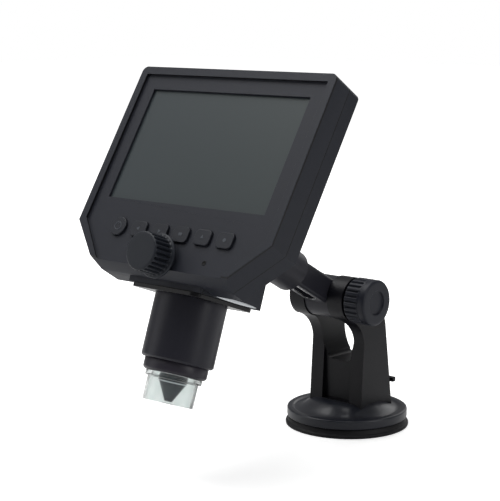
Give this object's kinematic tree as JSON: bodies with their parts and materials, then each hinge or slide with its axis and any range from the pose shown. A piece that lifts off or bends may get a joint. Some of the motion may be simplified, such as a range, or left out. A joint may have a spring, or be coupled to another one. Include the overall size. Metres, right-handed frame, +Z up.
{
  "type": "lcd digital microscope",
  "caption": "Hand-sized digital microscope with a built-in screen, keys and focus knob, on a tilting suction-cup stand.",
  "frame": {"origin": "centre of the suction cup's underside, on the surface that it grips", "axes": "+X to the device's right, +Y away from the user, +Z up"},
  "size_m": [0.1224, 0.189, 0.1904],
  "materials": {
    "case": "fine-textured moulded ABS, black",
    "window": "clear acrylic over the dark screen",
    "lcd": "dark unlit screen",
    "board": "green solder mask",
    "battery": "heat-shrink wrap",
    "socket_metal": "stamped steel shell",
    "bright_metal": "turned steel",
    "plate": "black moulded plate",
    "barrel": "black moulded tube, satin",
    "led": "water-clear lamp lens",
    "hood": "black moulded cone",
    "clear": "clear polycarbonate",
    "inner_plastic": "black acetal",
    "stand_plastic": "black moulded nylon",
    "base_plastic": "polished black moulding",
    "cup_rubber": "soft black cup",
    "clamp_plastic": "black moulded knob with ribs",
    "knob": "black moulded knob with ribs",
    "key": "black moulded key",
    "lens_glass": "coated lens"
  },
  "bodies": {
    "stand": {"fork_upright": "stand_plastic", "base_cover": "base_plastic", "suction_cup": "cup_rubber", "lever_pin": "bright_metal", "pivot_bolt": "bright_metal", "pivot_washer": "bright_metal"},
    "lever": {"cam_lever": "stand_plastic"},
    "stem": {"pull_stem": "bright_metal"},
    "knob_clamp": {"clamp_knob": "clamp_plastic"},
    "arm": {"arm": "stand_plastic", "lock_collar": "clamp_plastic"},
    "device": {"front_cover": "case", "rear_cover": "case", "display_window": "window", "lcd_panel": "lcd", "main_board": "board", "key_board": "board", "battery_pack": "battery", "usb_socket": "socket_metal", "card_socket": "socket_metal", "dimmer_post": "bright_metal", "flange_plate": "plate", "barrel_tube": "barrel", "barrel_ring": "barrel", "led_board": "board", "led_lamps": "led", "lens_hood": "hood", "clear_cap": "clear", "carriage_guide": "inner_plastic", "sensor_board": "board", "ball_plate": "stand_plastic"},
    "focus_drive": {"focus_knob": "knob", "focus_shaft": "inner_plastic"},
    "lens": {"lens_carriage": "inner_plastic", "objective_lens": "lens_glass"},
    "dimmer": {"dimmer_wheel": "knob"},
    "power_key": {"power_button": "key"},
    "key_1": {"key_button_1": "key"},
    "key_2": {"key_button_2": "key"},
    "key_3": {"key_button_3": "key"},
    "key_4": {"key_button_4": "key"},
    "key_5": {"key_button_5": "key"}
  },
  "joints": [
    {"name": "lever_press", "type": "hinge", "parent": "stand", "child": "lever", "pos_m": [0, 0, 0.021], "axis": [-1, 0, 0], "range_deg": [0, 20]},
    {"name": "stem_rise", "type": "slide", "parent": "stand", "child": "stem", "axis": [0, 0, 1], "range_m": [0, 0.0012]},
    {"name": "clamp_turn", "type": "hinge", "parent": "stand", "child": "knob_clamp", "pos_m": [0, -0.0166, 0.0715], "axis": [1, 0, 0], "range_deg": [-180, 180]},
    {"name": "arm_tilt", "type": "hinge", "parent": "stand", "child": "arm", "pos_m": [0, -0.0166, 0.0715], "axis": [-1, 0, 0], "range_deg": [-10, 75]},
    {"name": "head_swivel", "type": "hinge", "parent": "arm", "child": "device", "pos_m": [0, -0.06033, 0.09574], "axis": [0, -0.8746, 0.4848], "range_deg": [-180, 180]},
    {"name": "focus_turn", "type": "hinge", "parent": "device", "child": "focus_drive", "pos_m": [0, -0.14189, 0.10841], "axis": [0, -0.9409, 0.3387], "range_deg": [-90, 90]},
    {"name": "focus_travel", "type": "slide", "parent": "device", "child": "lens", "axis": [0, 0.3387, 0.9409], "range_m": [-0.006, 0.006]},
    {"name": "dimmer_turn", "type": "hinge", "parent": "device", "child": "dimmer", "pos_m": [-0.0549, -0.09081, 0.16063], "axis": [0, 0.8425, -0.5388], "range_deg": [-135, 135]},
    {"name": "power_key_press", "type": "slide", "parent": "device", "child": "power_key", "axis": [0, 0.8425, -0.5388], "range_m": [0, 0.0008], "stiffness_N_per_m": 800, "springref_m": -0.0006},
    {"name": "key_1_press", "type": "slide", "parent": "device", "child": "key_1", "axis": [0, 0.8425, -0.5388], "range_m": [0, 0.0008], "stiffness_N_per_m": 800, "springref_m": -0.0006},
    {"name": "key_2_press", "type": "slide", "parent": "device", "child": "key_2", "axis": [0, 0.8425, -0.5388], "range_m": [0, 0.0008], "stiffness_N_per_m": 800, "springref_m": -0.0006},
    {"name": "key_3_press", "type": "slide", "parent": "device", "child": "key_3", "axis": [0, 0.8425, -0.5388], "range_m": [0, 0.0008], "stiffness_N_per_m": 800, "springref_m": -0.0006},
    {"name": "key_4_press", "type": "slide", "parent": "device", "child": "key_4", "axis": [0, 0.8425, -0.5388], "range_m": [0, 0.0008], "stiffness_N_per_m": 800, "springref_m": -0.0006},
    {"name": "key_5_press", "type": "slide", "parent": "device", "child": "key_5", "axis": [0, 0.8425, -0.5388], "range_m": [0, 0.0008], "stiffness_N_per_m": 800, "springref_m": -0.0006}
  ],
  "couplings": [
    {"joint": "focus_travel", "follows": "focus_turn", "m_per_rad": 0.0036},
    {"joint": "stem_rise", "follows": "lever_press", "m_per_rad": 0.0034}
  ]
}
